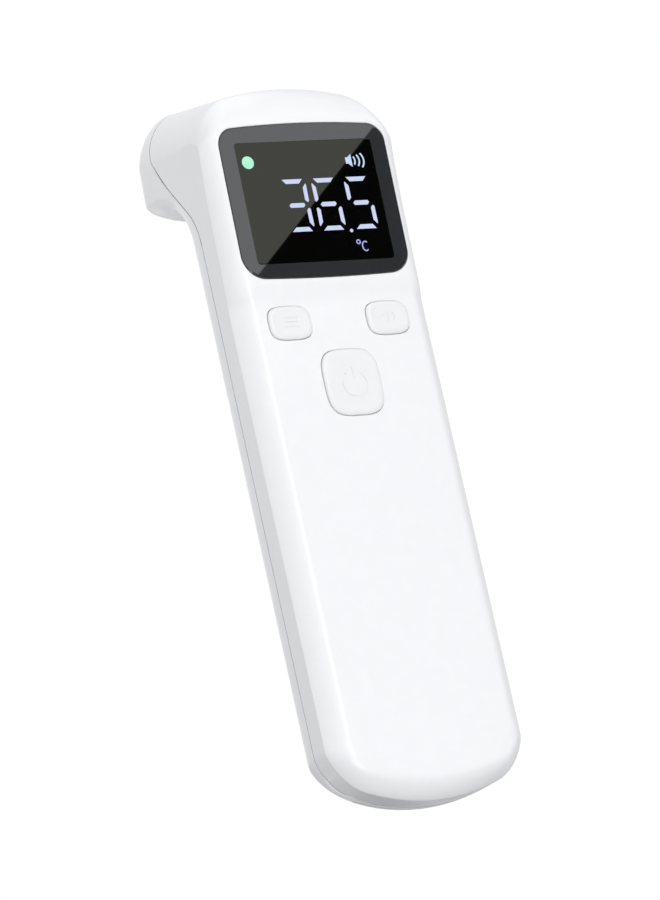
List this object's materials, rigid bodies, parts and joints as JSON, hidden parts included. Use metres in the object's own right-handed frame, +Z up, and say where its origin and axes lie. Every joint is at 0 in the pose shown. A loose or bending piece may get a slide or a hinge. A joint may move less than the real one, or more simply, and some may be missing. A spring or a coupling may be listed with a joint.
{
  "type": "digital thermometer",
  "caption": "Hand-held bar-type infrared forehead thermometer with a raised sensing snout, a lit display window, thumb keys and a sliding battery door.",
  "frame": {"origin": "middle of the foot of the bounding box, under the end of the handle", "axes": "+Z up along the handle, -Y out of the display towards the reader, +Y the way the probe looks, +X to the right of the reader"},
  "size_m": [0.045, 0.0334, 0.1578],
  "materials": {
    "shell_white": "white moulded ABS, satin gloss",
    "key_plastic": "white moulded ABS, slightly softer than the shell",
    "window_glass": "clear acrylic window with a dark printed border",
    "display_dark": "black display glass with lit segments",
    "light_guide": "milky moulded light guide",
    "gasket_black": "black foam adhesive frame",
    "frame_plastic": "natural moulded plastic",
    "black_plastic": "black moulded plastic",
    "probe_grey": "grey moulded plastic",
    "circuit_board": "green solder mask over glass laminate",
    "ribbon_film": "amber polyimide film",
    "lamp": "light-emitting diode package",
    "plated_steel": "nickel-plated steel",
    "brass": "turned brass",
    "reflector": "polished metal cone",
    "filter": "coated silicon window",
    "cell_jacket": "printed sleeve on a cell, no lettering"
  },
  "bodies": {
    "casing": {"amplifier_chip": "black_plastic", "backlight_guide": "light_guide", "battery_left": "cell_jacket", "battery_right": "cell_jacket", "battery_tray": "black_plastic", "board_screw_left": "plated_steel", "board_screw_right": "plated_steel", "board_screw_upper": "plated_steel", "buzzer": "black_plastic", "case_screw_left": "plated_steel", "case_screw_right": "plated_steel", "controller_chip": "black_plastic", "display_frame": "frame_plastic", "display_panel": "display_dark", "display_window": "window_glass", "front_shell": "shell_white", "heat_sleeve": "brass", "infrared_filter": "filter", "left_switch": "black_plastic", "link_plate": "plated_steel", "main_board": "circuit_board", "power_switch": "black_plastic", "probe_ring": "probe_grey", "rear_shell": "shell_white", "reflector_cone": "reflector", "right_switch": "black_plastic", "sensor_board": "circuit_board", "sensor_connector": "frame_plastic", "sensor_holder": "black_plastic", "sensor_ribbon": "ribbon_film", "spring_lower": "plated_steel", "spring_upper": "plated_steel", "status_lamp": "lamp", "status_light_pipe": "light_guide", "terminal_minus": "plated_steel", "terminal_plus": "plated_steel", "thermopile_can": "plated_steel", "window_gasket": "gasket_black"},
    "power_key": {"power_button": "key_plastic", "power_plunger": "frame_plastic"},
    "left_key": {"left_button": "key_plastic", "left_plunger": "frame_plastic"},
    "right_key": {"right_button": "key_plastic", "right_plunger": "frame_plastic"},
    "door": {"battery_door": "shell_white"}
  },
  "joints": [
    {"name": "power_key_press", "type": "slide", "parent": "casing", "child": "power_key", "axis": [0, 1, 0], "range_m": [0, 0.0005], "stiffness_N_per_m": 400, "springref_m": -0.002},
    {"name": "left_key_press", "type": "slide", "parent": "casing", "child": "left_key", "axis": [0, 1, 0], "range_m": [0, 0.0005], "stiffness_N_per_m": 400, "springref_m": -0.002},
    {"name": "right_key_press", "type": "slide", "parent": "casing", "child": "right_key", "axis": [0, 1, 0], "range_m": [0, 0.0005], "stiffness_N_per_m": 400, "springref_m": -0.002},
    {"name": "battery_door_slide", "type": "slide", "parent": "casing", "child": "door", "axis": [0, 0, -1], "range_m": [0, 0.07]}
  ]
}
